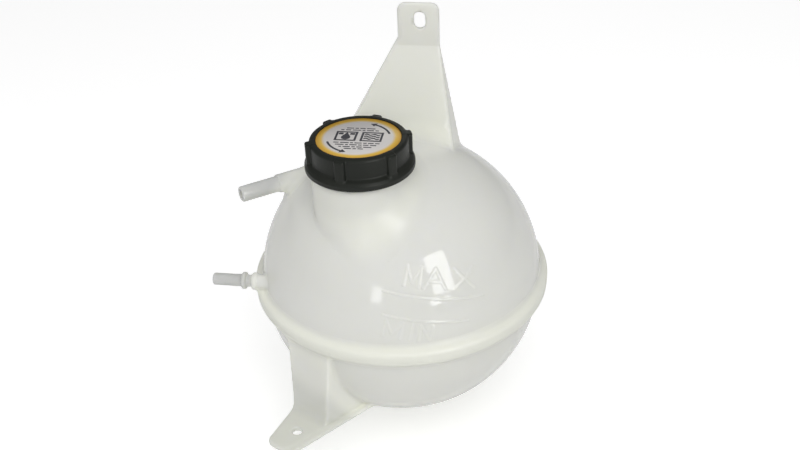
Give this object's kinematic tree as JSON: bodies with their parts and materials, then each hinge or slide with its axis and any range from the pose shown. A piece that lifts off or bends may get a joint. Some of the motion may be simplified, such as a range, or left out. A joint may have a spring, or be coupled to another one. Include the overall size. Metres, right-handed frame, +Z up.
{
  "type": "coolant expansion tank",
  "caption": "Ball-shaped translucent coolant expansion tank with a screw pressure cap, a hanging bracket, a foot and hose spigots.",
  "frame": {"origin": "centre of the upper fixing slot, on the back face of the hanging tab", "axes": "+Z up along the filler neck, square to the weld flange; -Y to the front; +Y into the wall that the tab is bolted to; -X the way the small spigot points"},
  "size_m": [0.2121, 0.2129, 0.2806],
  "materials": {
    "tank_plastic": "natural translucent polypropylene, satin",
    "cap_plastic": "fine grained black moulding",
    "insert_plastic": "smooth black moulding",
    "label_film": "printed film",
    "seal_rubber": "moulded rubber",
    "spring_steel": "drawn wire",
    "plate_steel": "pressed sheet",
    "valve_brass": "turned"
  },
  "bodies": {
    "tank": {"upper_shell": "tank_plastic", "lower_shell": "tank_plastic"},
    "valve_insert": {"valve_housing": "insert_plastic", "valve_retainer": "insert_plastic", "cap_seal": "seal_rubber", "pressure_spring": "spring_steel"},
    "cap": {"cap_shell": "cap_plastic", "cap_label": "label_film"},
    "pressure_valve": {"pressure_valve_plate": "plate_steel", "pressure_valve_seal": "seal_rubber", "vacuum_spring": "spring_steel"},
    "vacuum_valve": {"vacuum_valve": "valve_brass", "vacuum_spring_seat": "plate_steel"}
  },
  "joints": [
    {"name": "cap_lift", "type": "slide", "parent": "tank", "child": "valve_insert", "axis": [0, 0, 1], "range_m": [0, 0.045]},
    {"name": "cap_turn", "type": "hinge", "parent": "valve_insert", "child": "cap", "pos_m": [-0.0266, -0.0759, -0.0475], "axis": [0, 0, 1], "range_deg": [0, 540]},
    {"name": "pressure_valve_lift", "type": "slide", "parent": "valve_insert", "child": "pressure_valve", "axis": [0, 0, 1], "range_m": [0, 0.003], "stiffness_N_per_m": 6000, "springref_m": -0.009, "deforming": ["pressure_spring"]},
    {"name": "vacuum_valve_drop", "type": "slide", "parent": "pressure_valve", "child": "vacuum_valve", "axis": [0, 0, -1], "range_m": [0, 0.0018], "stiffness_N_per_m": 300, "springref_m": -0.0017, "deforming": ["vacuum_spring"]}
  ]
}
